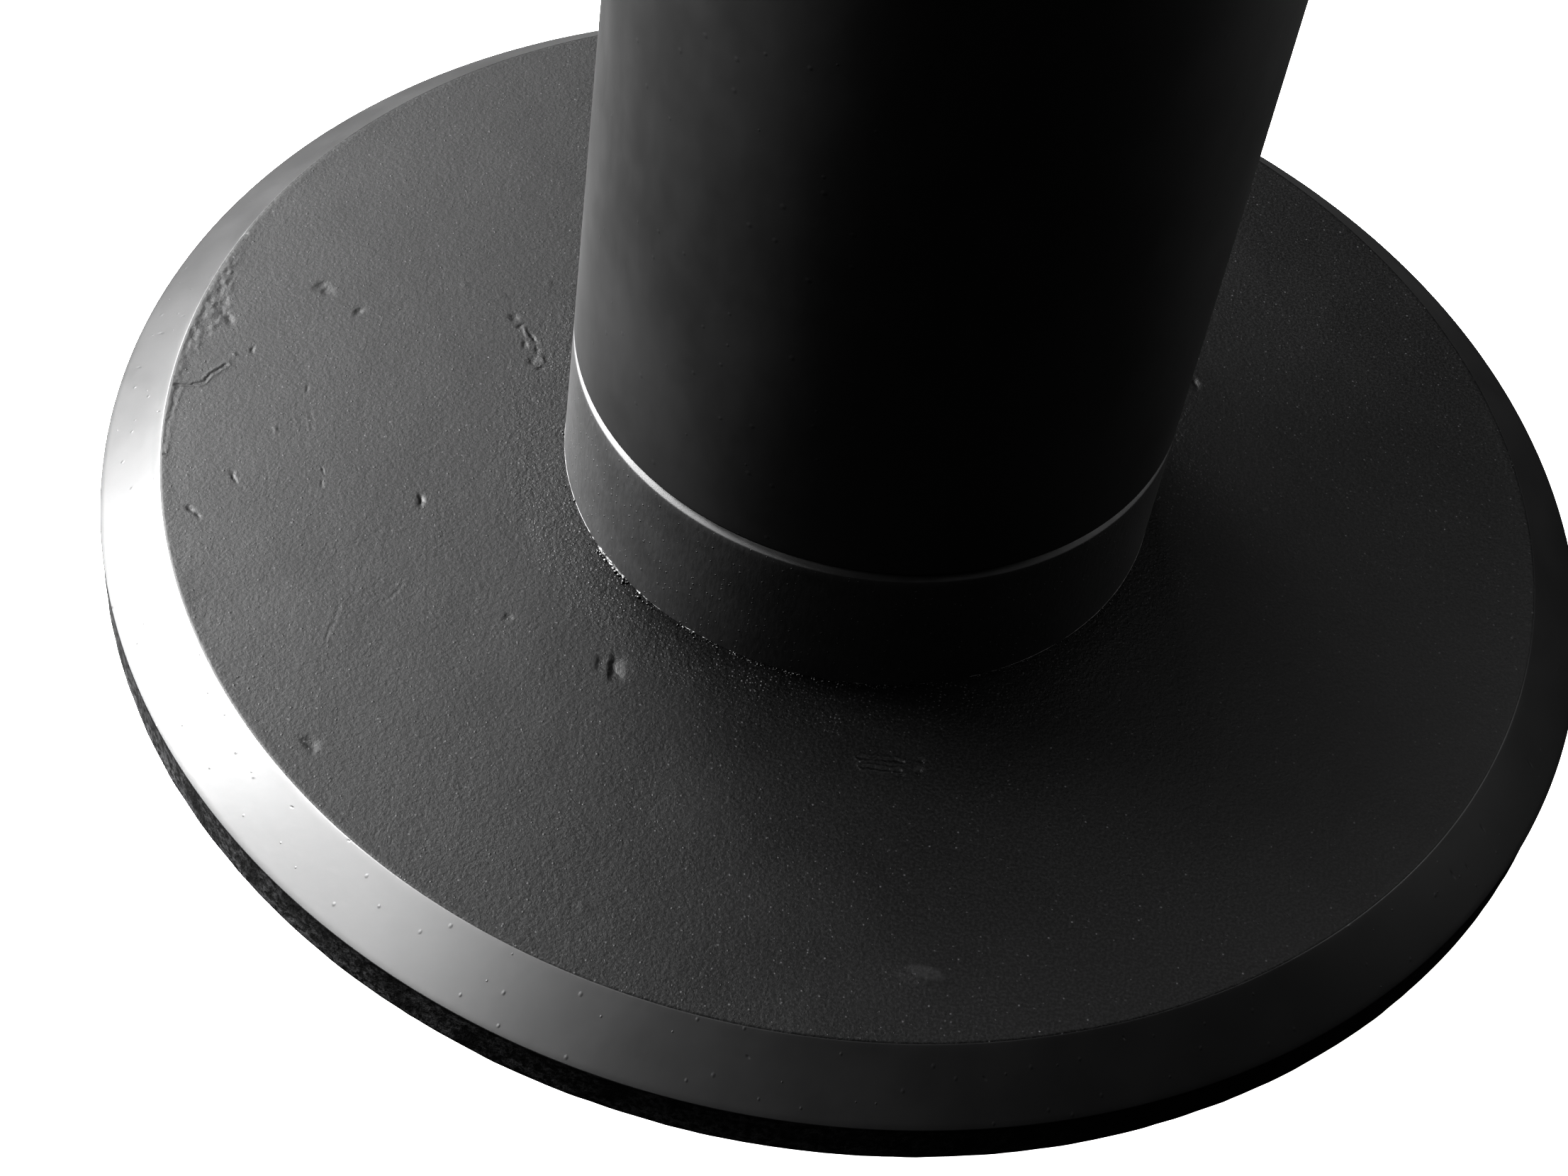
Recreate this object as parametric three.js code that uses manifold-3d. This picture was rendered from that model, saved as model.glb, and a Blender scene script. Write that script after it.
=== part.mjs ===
// Bollard post: a steel tube on a heavy bevelled disc, drawn down onto a flush collar by a central tie rod.
// Millimetres, +Z up. The origin is the middle of the footprint, on the surface the base pad stands on.

import * as THREE from "three";
import { mergeVertices } from "three/addons/utils/BufferGeometryUtils.js";
import Module from "manifold-3d";

const wasm = await Module();
wasm.setup();

// Driving dimensions ----------------------------------------------------------------------------

const postRadius = 57.15; // 114.3 mm tube
const postWall = 4.5;
const totalHeight = 446;

const padThickness = 1;
const padInset = 4; // the pad stops short of the plate's rim

const plateRadius = 144.5;
const plateThickness = 18;
const bevelWidth = 11.5;
const bevelHeight = 8.7;
const plateFootRound = 0.8; // broken lower edge of the plate

const collarHeight = 30;
const seamChamfer = 1.2; // on the collar's upper edge
const tubeChamfer = 0.5; // on both ends of the tube

const spigotWall = 5;
const spigotEngagement = 90; // length of spigot that stands inside the tube
const spigotLeadIn = 2.5;
const sealSection = 2.5; // O-rings
const sealEndDistance = 8; // from each end of the engaged length to a seal's middle

const rodRadius = 8; // M16 tie rod
const rodEndChamfer = 1.5;
const rodFootGap = 3;
const rodBeyondNut = 1;
const bossRadius = 30;
const bossHeight = 28;

const headRadius = 75;
const headThickness = 16;
const headBevelWidth = 9;
const headBevelHeight = 6.8;
const headUnderRound = 3;
const headBossDepth = 35; // length of the head that stands inside the tube
const headBossChamfer = 1;
const headRimWall = 6; // outer wall of that length
const headCoreRadius = 28; // wall round the nut chamber
const headPocketHeight = 30; // of the ring-shaped pocket between the two walls
const headWeb = 8; // floor of the nut chamber
const headSealDistance = 7; // from the boss's lower end to its seal's middle

const nutAcrossFlats = 24;
const nutHeight = 13;
const thinNutHeight = 8;
const nutFaceMargin = 0.4; // how far a nut's chamfers start inside its flats
const washerRadius = 17;
const washerThickness = 3;
const springRadius = 16;
const springThickness = 1.4;
const springRise = 1;

const plugFlangeRadius = 24.6;
const plugFlangeThickness = 4.4;
const plugFlangeChamfer = 0.8;
const plugShankRadius = 19.6;
const plugShankLength = 10.6;
const plugShankChamfer = 1;
const plugSealThickness = 1.6;
const plugSocketAcrossFlats = 14;
const plugSocketDepth = 8;

const guideDiscThickness = 5;
const guideDiscHeight = 245; // its middle, above the origin
const lighteningHoles = 3;
const lighteningHoleRadius = 13;
const lighteningHoleCircle = 31;

const fitGap = 0.35; // radial gap of what slides into the tube
const threadGap = 0.3; // radial gap between plain stand-ins for threads
const plugGap = 0.4; // radial gap round the plug
const looseGap = 0.6; // radial gap of a clearance hole over the rod
const weldGap = 0.3; // between a bead and the wall beside it

const postWeldLeg = 1.6;
const innerWeldLeg = 4;

const sides = 48; // of every turned piece, so that the corners of neighbours line up

// Levels and radii that follow ------------------------------------------------------------------

const plateTop = padThickness + plateThickness;
const seam = plateTop + collarHeight;
const headBottom = totalHeight - headThickness;
const boreRadius = postRadius - postWall;
const slideRadius = boreRadius - fitGap;
const spigotBore = slideRadius - spigotWall;
const spigotTop = seam + spigotEngagement;
const threadBore = rodRadius + threadGap;
const clearanceBore = rodRadius + looseGap;
const chamberRadius = plugShankRadius + plugGap;
const chamberFloor = headBottom - headBossDepth + headWeb;
const plugSeat = totalHeight - plugFlangeThickness - plugSealThickness;
const plugSealTop = plugSeat + plugSealThickness;
const washerTop = chamberFloor + washerThickness;
const springTop = washerTop + springThickness + springRise;
const clampNutTop = springTop + nutHeight;
const lockNutTop = clampNutTop + thinNutHeight;
const rodTop = lockNutTop + rodBeyondNut;

// Finishes --------------------------------------------------------------------------------------

function finish(color, roughness, metalness) {
  return new THREE.MeshStandardMaterial({ color, roughness, metalness });
}

const plateBlack = finish(0x1d1d1e, 0.62, 0.1);
const tubeBlack = finish(0x141415, 0.38, 0.1);
const weldBlack = finish(0x242425, 0.7, 0.1);
const bareSteel = finish(0x7d7f82, 0.45, 0.9);
const zincSteel = finish(0xb4b6b8, 0.35, 1);
const stainless = finish(0xc2c3c5, 0.28, 1);
const rubber = finish(0x161616, 0.9, 0);

// Geometry helpers ------------------------------------------------------------------------------

// Turns an outline of [radius, height] pairs about Z. Unless it starts on the axis, it is closed.
function turned(outline) {
  const points = outline.map(([radius, height]) => new THREE.Vector2(radius, height));
  const startsOnAxis = points[0].x === 0;
  if (!startsOnAxis) points.push(points[0].clone());
  if (THREE.ShapeUtils.area(points) < 0) points.reverse();
  return new THREE.LatheGeometry(points, sides).rotateX(Math.PI / 2);
}

function disc(radius, bottom, top) {
  return turned([[0, bottom], [radius, bottom], [radius, top], [0, top]]);
}

function sleeve(inner, outer, bottom, top) {
  return turned([[inner, bottom], [outer, bottom], [outer, top], [inner, top]]);
}

// Points of an arc in an outline, between two angles in degrees.
function arc(radius, height, round, from, to, steps) {
  const points = [];
  for (let i = 0; i <= steps; i++) {
    const angle = THREE.MathUtils.degToRad(from + ((to - from) * i) / steps);
    points.push([radius + round * Math.cos(angle), height + round * Math.sin(angle)]);
  }
  return points;
}

// A fillet of weld in the corner between a round wall and the floor that it stands on. It lies
// outside the wall when side is 1, and inside it when side is -1.
function weldBead(wallRadius, floor, leg, side) {
  const root = wallRadius + side * weldGap;
  const belly = 0.62 * leg;
  return turned([
    [root, floor],
    [root + side * leg, floor],
    [root + side * belly, floor + belly],
    [root, floor + leg],
  ]);
}

function hexagon(acrossFlats) {
  const radius = acrossFlats / Math.sqrt(3);
  const corners = [];
  for (let i = 0; i < 6; i++) {
    const angle = (i * Math.PI) / 3;
    corners.push(new THREE.Vector2(radius * Math.cos(angle), radius * Math.sin(angle)));
  }
  return new THREE.Shape(corners);
}

function prism(shape, bottom, height) {
  const options = { depth: height, bevelEnabled: false, curveSegments: sides / 4 };
  return new THREE.ExtrudeGeometry(shape, options).translate(0, 0, bottom);
}

function toSolid(geometry) {
  const bare = geometry.clone();
  bare.deleteAttribute("normal");
  bare.deleteAttribute("uv");
  const merged = mergeVertices(bare, 1e-4);
  const mesh = new wasm.Mesh({
    numProp: 3,
    vertProperties: new Float32Array(merged.attributes.position.array),
    triVerts: new Uint32Array(merged.index.array),
  });
  return new wasm.Manifold(mesh);
}

function toGeometry(solid) {
  const mesh = solid.getMesh();
  const geometry = new THREE.BufferGeometry();
  geometry.setAttribute("position", new THREE.BufferAttribute(mesh.vertProperties, 3));
  geometry.setIndex(new THREE.BufferAttribute(mesh.triVerts, 1));
  geometry.computeVertexNormals();
  return geometry;
}

const group = new THREE.Group();

function add(name, geometry, material) {
  const mesh = new THREE.Mesh(geometry, material);
  mesh.name = name;
  group.add(mesh);
}

// O-rings and their grooves ---------------------------------------------------------------------

const grooveRadius = slideRadius - 0.96 * sealSection;
const grooveHalfWidth = 0.64 * sealSection;
const sealGap = 0.08; // between a seal and the tube's bore

// The stretch of an outline that dips into a groove for an O-ring.
function groove(middle) {
  return [
    [slideRadius, middle - grooveHalfWidth],
    [grooveRadius, middle - grooveHalfWidth],
    [grooveRadius, middle + grooveHalfWidth],
    [slideRadius, middle + grooveHalfWidth],
  ];
}

function addSeal(name, middle) {
  const ringRadius = boreRadius - sealGap - sealSection / 2;
  add(name, turned(arc(ringRadius, middle, sealSection / 2, 0, 300, 5)), rubber);
}

// Base: pad, plate, collar and the weld at the collar's foot --------------------------------------

add("base_pad", disc(plateRadius - padInset, 0, padThickness), rubber);

function basePlate() {
  const footRadius = plateRadius - plateFootRound;
  const footHeight = padThickness + plateFootRound;
  return turned([
    [0, padThickness],
    ...arc(footRadius, footHeight, plateFootRound, -90, 0, 2),
    [plateRadius, plateTop - bevelHeight],
    [plateRadius - bevelWidth, plateTop],
    [0, plateTop],
  ]);
}
add("base_plate", basePlate(), plateBlack);

const collarOutline = [
  [boreRadius, plateTop],
  [postRadius, plateTop],
  [postRadius, seam - seamChamfer],
  [postRadius - seamChamfer, seam],
  [boreRadius, seam],
];
add("base_collar", turned(collarOutline), plateBlack);
add("collar_weld", weldBead(postRadius, plateTop, postWeldLeg, 1), weldBlack);

// Inside the foot: the spigot that locates the tube, and the boss that the tie rod screws into ----

const lowerSealHeight = seam + sealEndDistance;
const upperSealHeight = spigotTop - sealEndDistance;
const spigotOutline = [
  [spigotBore, plateTop],
  [slideRadius, plateTop],
  ...groove(lowerSealHeight),
  ...groove(upperSealHeight),
  [slideRadius, spigotTop - spigotLeadIn],
  [slideRadius - spigotLeadIn, spigotTop],
  [spigotBore, spigotTop],
];
add("spigot_tube", turned(spigotOutline), bareSteel);
add("spigot_weld", weldBead(spigotBore, plateTop, innerWeldLeg, -1), bareSteel);
addSeal("spigot_seal_lower", lowerSealHeight);
addSeal("spigot_seal_upper", upperSealHeight);

add("tie_rod_boss", sleeve(threadBore, bossRadius, plateTop, plateTop + bossHeight), bareSteel);
add("boss_weld", weldBead(bossRadius, plateTop, innerWeldLeg, 1), bareSteel);

// The tie rod, and the disc between two nuts that steadies it halfway up the tube -----------------

const rodBottom = plateTop + rodFootGap;
const rodOutline = [
  [0, rodBottom],
  [rodRadius - rodEndChamfer, rodBottom],
  [rodRadius, rodBottom + rodEndChamfer],
  [rodRadius, rodTop - rodEndChamfer],
  [rodRadius - rodEndChamfer, rodTop],
  [0, rodTop],
];
add("tie_rod", turned(rodOutline), zincSteel);

const guideDiscBottom = guideDiscHeight - guideDiscThickness / 2;
const guideDiscTop = guideDiscHeight + guideDiscThickness / 2;

function guideDisc() {
  let solid = toSolid(sleeve(threadBore, slideRadius, guideDiscBottom, guideDiscTop));
  for (let i = 0; i < lighteningHoles; i++) {
    const angle = (i * 2 * Math.PI) / lighteningHoles;
    const x = lighteningHoleCircle * Math.cos(angle);
    const y = lighteningHoleCircle * Math.sin(angle);
    const drill = disc(lighteningHoleRadius, guideDiscBottom - 1, guideDiscTop + 1);
    solid = solid.subtract(toSolid(drill.translate(x, y, 0)));
  }
  return toGeometry(solid);
}
add("guide_disc", guideDisc(), bareSteel);

// A hexagon nut with a plain bore and both its faces chamfered.
function hexNut(bottom, height) {
  const shape = hexagon(nutAcrossFlats);
  shape.holes.push(new THREE.Path().absarc(0, 0, threadBore, 0, 2 * Math.PI, true));
  const faceRadius = nutAcrossFlats / 2 - nutFaceMargin;
  const cornerRadius = nutAcrossFlats / Math.sqrt(3) + nutFaceMargin;
  const drop = (cornerRadius - faceRadius) * Math.tan(Math.PI / 6);
  const barrel = turned([
    [0, bottom],
    [faceRadius, bottom],
    [cornerRadius, bottom + drop],
    [cornerRadius, bottom + height - drop],
    [faceRadius, bottom + height],
    [0, bottom + height],
  ]);
  return toGeometry(toSolid(prism(shape, bottom, height)).intersect(toSolid(barrel)));
}
add("guide_nut_lower", hexNut(guideDiscBottom - thinNutHeight, thinNutHeight), zincSteel);
add("guide_nut_upper", hexNut(guideDiscTop, thinNutHeight), zincSteel);

// The post and its head --------------------------------------------------------------------------

const tubeOutline = [
  [boreRadius, seam],
  [postRadius - tubeChamfer, seam],
  [postRadius, seam + tubeChamfer],
  [postRadius, headBottom - tubeChamfer],
  [postRadius - tubeChamfer, headBottom],
  [boreRadius, headBottom],
];
add("post_tube", turned(tubeOutline), tubeBlack);

const headBossBottom = headBottom - headBossDepth;
const headSealHeight = headBossBottom + headSealDistance;

function postHead() {
  const pocketTop = headBossBottom + headPocketHeight;
  const rimInner = slideRadius - headRimWall;
  const seatRadius = plugFlangeRadius + plugGap;
  const underRoundRadius = headRadius - headUnderRound;
  const underRoundHeight = headBottom + headUnderRound;
  return turned([
    [clearanceBore, headBossBottom],
    [headCoreRadius, headBossBottom],
    [headCoreRadius, pocketTop],
    [rimInner, pocketTop],
    [rimInner, headBossBottom],
    [slideRadius - headBossChamfer, headBossBottom],
    [slideRadius, headBossBottom + headBossChamfer],
    ...groove(headSealHeight),
    [slideRadius, headBottom],
    ...arc(underRoundRadius, underRoundHeight, headUnderRound, -90, 0, 4),
    [headRadius, totalHeight - headBevelHeight],
    [headRadius - headBevelWidth, totalHeight],
    [seatRadius, totalHeight],
    [seatRadius, plugSeat],
    [chamberRadius, plugSeat],
    [chamberRadius, chamberFloor],
    [clearanceBore, chamberFloor],
  ]);
}
add("post_head", postHead(), tubeBlack);
addSeal("head_seal", headSealHeight);

// The clamp at the top of the tie rod -------------------------------------------------------------

add("clamp_washer", sleeve(threadBore, washerRadius, chamberFloor, washerTop), zincSteel);

const springOutline = [
  [clearanceBore, washerTop + springRise],
  [springRadius, washerTop],
  [springRadius, washerTop + springThickness],
  [clearanceBore, springTop],
];
add("disc_spring", turned(springOutline), zincSteel);
add("clamp_nut", hexNut(springTop, nutHeight), zincSteel);
add("lock_nut", hexNut(clampNutTop, thinNutHeight), zincSteel);

// The screw plug that closes the head, on its own flat seal ----------------------------------------

const plugSealInner = chamberRadius + threadGap;
const plugSealOuter = plugFlangeRadius - threadGap;
add("plug_seal", sleeve(plugSealInner, plugSealOuter, plugSeat, plugSealTop), rubber);

function screwPlug() {
  const shankBottom = plugSealTop - plugShankLength;
  const body = turned([
    [0, shankBottom],
    [plugShankRadius - plugShankChamfer, shankBottom],
    [plugShankRadius, shankBottom + plugShankChamfer],
    [plugShankRadius, plugSealTop],
    [plugFlangeRadius, plugSealTop],
    [plugFlangeRadius, totalHeight - plugFlangeChamfer],
    [plugFlangeRadius - plugFlangeChamfer, totalHeight],
    [0, totalHeight],
  ]);
  const socketBottom = totalHeight - plugSocketDepth;
  const socket = prism(hexagon(plugSocketAcrossFlats), socketBottom, 2 * plugSocketDepth);
  return toGeometry(toSolid(body).subtract(toSolid(socket)));
}
add("screw_plug", screwPlug(), stainless);

export default group;
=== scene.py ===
import math

import bmesh
import bpy
import numpy as np
from mathutils import Matrix, Vector


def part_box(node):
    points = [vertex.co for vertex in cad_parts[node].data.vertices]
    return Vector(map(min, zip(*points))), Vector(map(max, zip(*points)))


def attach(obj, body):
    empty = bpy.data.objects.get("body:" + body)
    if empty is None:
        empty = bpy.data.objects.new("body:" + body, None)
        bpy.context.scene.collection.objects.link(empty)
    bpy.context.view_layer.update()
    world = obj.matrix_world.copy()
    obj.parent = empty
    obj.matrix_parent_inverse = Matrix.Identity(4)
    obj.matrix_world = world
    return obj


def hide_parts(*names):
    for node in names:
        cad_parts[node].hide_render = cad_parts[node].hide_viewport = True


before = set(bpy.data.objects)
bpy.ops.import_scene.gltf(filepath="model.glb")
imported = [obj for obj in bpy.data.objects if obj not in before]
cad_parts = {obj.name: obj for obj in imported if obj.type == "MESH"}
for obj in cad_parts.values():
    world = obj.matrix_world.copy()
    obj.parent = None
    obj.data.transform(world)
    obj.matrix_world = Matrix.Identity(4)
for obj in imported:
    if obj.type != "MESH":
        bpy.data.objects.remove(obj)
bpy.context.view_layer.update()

MM = 0.001

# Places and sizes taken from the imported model, in metres ------------------------------------------


def low(node):
    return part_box(node)[0]


def high(node):
    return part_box(node)[1]


PLATE_RADIUS = high("base_plate").x
PLATE_BOTTOM = low("base_plate").z
PLATE_TOP = high("base_plate").z
POST_RADIUS = high("post_tube").x
SEAM = low("post_tube").z
TUBE_TOP = high("post_tube").z
HEAD_RADIUS = high("post_head").x
HEAD_BOTTOM_OF_BOSS = low("post_head").z
TOTAL_HEIGHT = high("post_head").z
# Sizes of shapes that the boxes don't give
POST_WALL = 4.5 * MM
BEVEL_WIDTH = 11.5 * MM
BEVEL_HEIGHT = 8.7 * MM
BEVEL_INNER_ROUND = 1.3 * MM
BEVEL_OUTER_ROUND = 0.35 * MM
PLATE_FOOT_ROUND = 0.8 * MM
SEAM_CHAMFER = 1.6 * MM
TUBE_EDGE_ROUND = 0.9 * MM
BORE_RADIUS = POST_RADIUS - POST_WALL
BEVEL_START = PLATE_TOP - BEVEL_HEIGHT
PLATE_FLAT_RADIUS = PLATE_RADIUS - BEVEL_WIDTH

# Segments in the circle of each round piece
PLATE_SEGMENTS = 470
POST_SEGMENTS = 360
BEAD_SEGMENTS = 2000
HEAD_SEGMENTS = 300
PLUG_SEGMENTS = 240
SEAL_SEGMENTS = 180
PAD_SEGMENTS = 240


# Numbers that look random but are the same in every run -------------------------------------------


def lattice_noise(points, cell, seed):
    """Smooth noise from -1 to 1, with lumps about as big as a cell, at points of 2 or 3 columns."""
    size = 64
    rng = np.random.default_rng(seed)
    points = np.asarray(points, dtype=float) / cell
    columns = points.shape[1]
    values = rng.uniform(-1.0, 1.0, (size,) * columns)
    base = np.floor(points).astype(int)
    part = points - base
    part = part * part * (3.0 - 2.0 * part)
    total = np.zeros(len(points))
    for corner in range(2**columns):
        offset = [(corner >> axis) & 1 for axis in range(columns)]
        weight = np.ones(len(points))
        index = []
        for axis in range(columns):
            weight = weight * (part[:, axis] if offset[axis] else 1.0 - part[:, axis])
            index.append((base[:, axis] + offset[axis]) % size)
        total += weight * values[tuple(index)]
    return total


def smooth_step(x, start, end):
    t = np.clip((x - start) / (end - start), 0.0, 1.0)
    return t * t * (3.0 - 2.0 * t)


# Mesh helpers -------------------------------------------------------------------------------------


def arc(centre_r, centre_z, radius, start, end, steps):
    """Points of an arc in an outline, between two angles in degrees."""
    points = []
    for i in range(steps + 1):
        angle = math.radians(start + (end - start) * i / steps)
        points.append((centre_r + radius * math.cos(angle), centre_z + radius * math.sin(angle)))
    return points


def stretch(a, b, step):
    """Points from a towards b, a step apart or less, without b itself."""
    count = max(1, math.ceil(math.dist(a, b) / step))
    across, up = b[0] - a[0], b[1] - a[1]
    return [(a[0] + across * i / count, a[1] + up * i / count) for i in range(count)]


def new_object(name, vertices, faces):
    mesh = bpy.data.meshes.new(name)
    mesh.from_pydata([tuple(v) for v in vertices], [], faces)
    mesh.validate()
    mesh.update()
    obj = bpy.data.objects.new(name, mesh)
    bpy.context.scene.collection.objects.link(obj)
    return obj


def circle(segments):
    """The angles at which a circle is divided, in radians."""
    return np.arange(segments) * 2.0 * math.pi / segments


def revolve(name, outline, segments):
    """Turns an outline of (radius, height) points about Z, with the solid on its left. It closes on
    itself unless both its ends are on the axis. A radius can be an array, one for each segment."""
    on_axis = outline[0][0] < 1e-9
    rings = outline[1:-1] if on_axis else outline
    cos, sin = np.cos(circle(segments)), np.sin(circle(segments))
    vertices = []
    for r, z in rings:
        vertices.append(np.column_stack([r * cos, r * sin, np.full(segments, z)]))
    vertices = np.concatenate(vertices)
    faces = []
    count = len(rings)
    last = count - 1 if on_axis else count
    for i in range(last):
        a, b = i * segments, ((i + 1) % count) * segments
        for j in range(segments):
            k = (j + 1) % segments
            faces.append((a + j, a + k, b + k, b + j))
    if on_axis:
        start, end = len(vertices), len(vertices) + 1
        vertices = np.concatenate([vertices, [[0, 0, outline[0][1]], [0, 0, outline[-1][1]]]])
        b = (count - 1) * segments
        for j in range(segments):
            k = (j + 1) % segments
            faces.append((start, k, j))
            faces.append((end, b + j, b + k))
    return new_object(name, vertices, faces)


def smooth(obj, degrees):
    obj.data.polygons.foreach_set("use_smooth", [True] * len(obj.data.polygons))
    obj.data.set_sharp_from_angle(angle=math.radians(degrees))


def coordinates(obj):
    flat = np.empty(len(obj.data.vertices) * 3)
    obj.data.vertices.foreach_get("co", flat)
    return flat.reshape(-1, 3)


def set_coordinates(obj, points):
    obj.data.vertices.foreach_set("co", points.ravel())
    obj.data.update()


# Node material helpers ----------------------------------------------------------------------------


class Nodes:
    """A new material with its Principled shader, and short ways to add nodes to it."""

    def __init__(self, name):
        self.material = bpy.data.materials.new(name)
        self.material.use_nodes = True
        self.tree = self.material.node_tree
        self.shader = self.tree.nodes["Principled BSDF"]
        self.place = self.add("ShaderNodeTexCoord").outputs["Object"]

    def add(self, kind, **values):
        node = self.tree.nodes.new(kind)
        for key, value in values.items():
            setattr(node, key, value)
        return node

    def link(self, a, b):
        self.tree.links.new(a, b)

    def put(self, socket, value):
        if hasattr(value, "is_output"):
            self.link(value, socket)
        else:
            socket.default_value = value

    def math(self, operation, a, b=0.0, clamp=False):
        node = self.add("ShaderNodeMath", operation=operation, use_clamp=clamp)
        self.put(node.inputs[0], a)
        self.put(node.inputs[1], b)
        return node.outputs[0]

    def total(self, *parts):
        """The sum of (value, share) pairs."""
        result = None
        for value, share in parts:
            term = self.math("MULTIPLY", value, share)
            result = term if result is None else self.math("ADD", result, term)
        return result

    def ramp(self, value, start, end, low=0.0, high=1.0):
        """A smooth step from low to high while value goes from start to end."""
        node = self.add("ShaderNodeMapRange", interpolation_type="SMOOTHSTEP")
        sockets = {"Value": value, "From Min": start, "From Max": end, "To Min": low, "To Max": high}
        for key, number in sockets.items():
            self.put(node.inputs[key], number)
        return node.outputs[0]

    def mapped(self, vector, key, value):
        """A vector after one kind of mapping: Location, Rotation or Scale."""
        node = self.add("ShaderNodeMapping")
        node.inputs[key].default_value = value
        self.link(vector, node.inputs["Vector"])
        return node.outputs[0]

    def scaled(self, scale, turn):
        """The place on the object after a turn about Z in degrees and then a scale on each axis."""
        turned = self.mapped(self.place, "Rotation", (0, 0, math.radians(turn)))
        return self.mapped(turned, "Scale", scale)

    def axes(self, vector):
        """The X, Y and Z of a vector."""
        node = self.add("ShaderNodeSeparateXYZ")
        self.link(vector, node.inputs[0])
        return node.outputs

    def height(self):
        return self.axes(self.place)["Z"]

    def radius(self):
        """Distance from the Z axis, in metres."""
        place = self.axes(self.place)
        return self.math("SQRT", self.total((place["X"], place["X"]), (place["Y"], place["Y"])))

    def unrolled(self, squash=1.0):
        """The place on an upright cylinder of the post's radius, rolled flat, in metres."""
        place = self.axes(self.place)
        turn = self.math("ARCTAN2", place["Y"], place["X"])
        flat = self.add("ShaderNodeCombineXYZ")
        self.link(self.math("MULTIPLY", turn, POST_RADIUS), flat.inputs["X"])
        self.link(self.math("MULTIPLY", place["Z"], squash), flat.inputs["Y"])
        return flat.outputs[0]

    def noise(self, size, detail, rough, vector=None):
        """Noise from 0 to 1 whose blotches are about size metres across."""
        node = self.add("ShaderNodeTexNoise")
        node.inputs["Scale"].default_value = 1.0 / size
        node.inputs["Detail"].default_value = detail
        node.inputs["Roughness"].default_value = rough
        self.link(vector or self.place, node.inputs["Vector"])
        return node.outputs["Fac"]

    def specks(self, size, share, vector, small, big):
        """Round specks on a plane, in about that share of cells of that size: 1 at a speck's middle
        and 0 outside it. A speck's radius is from small to big, in cells."""
        cells = self.add("ShaderNodeTexVoronoi", feature="F1", voronoi_dimensions="2D")
        cells.inputs["Scale"].default_value = 1.0 / size
        self.link(vector, cells.inputs["Vector"])
        split = self.add("ShaderNodeSeparateColor")
        self.link(cells.outputs["Color"], split.inputs[0])
        chosen = self.math("GREATER_THAN", split.outputs[0], 1.0 - share)
        reach = self.ramp(split.outputs[1], 0.0, 1.0, small, big)
        outward = self.math("DIVIDE", cells.outputs["Distance"], reach)
        inside = self.math("SUBTRACT", 1.0, outward, clamp=True)
        return self.math("MULTIPLY", chosen, self.ramp(inside, 0.0, 1.0))

    def oval(self, x, y, half_length, half_width, way):
        """1 in the middle of an oval on a level surface and 0 outside it. The way that its length
        runs is in degrees."""
        moved = self.mapped(self.place, "Location", (-x, -y, 0))
        place = self.axes(self.mapped(moved, "Rotation", (0, 0, -math.radians(way))))
        along = self.math("DIVIDE", place["X"], half_length)
        across = self.math("DIVIDE", place["Y"], half_width)
        return self.ramp(self.total((along, along), (across, across)), 1.0, 0.2)

    def bump(self, height, distance):
        node = self.add("ShaderNodeBump")
        node.inputs["Strength"].default_value = 1.0
        node.inputs["Distance"].default_value = distance
        self.link(height, node.inputs["Height"])
        return node.outputs["Normal"]

    def colour(self, factor, dark, light):
        node = self.add("ShaderNodeMix", data_type="RGBA")
        self.put(node.inputs["Factor"], factor)
        node.inputs["A"].default_value = (*dark, 1)
        node.inputs["B"].default_value = (*light, 1)
        return node.outputs["Result"]


def grey(value):
    return (value, value, value * 1.02)


def finish(obj, *materials):
    obj.data.materials.clear()
    for material in materials:
        obj.data.materials.append(material)


# Materials ----------------------------------------------------------------------------------------

# A painted highlight on the plate's front, a pale oval tint over the low bump there: its middle,
# half its length and width, and the way its length runs in degrees
PAINTED_HIGHLIGHT_SPOT = (27.4 * MM, -116.0 * MM, 4.2 * MM, 1.7 * MM, -6)


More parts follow.
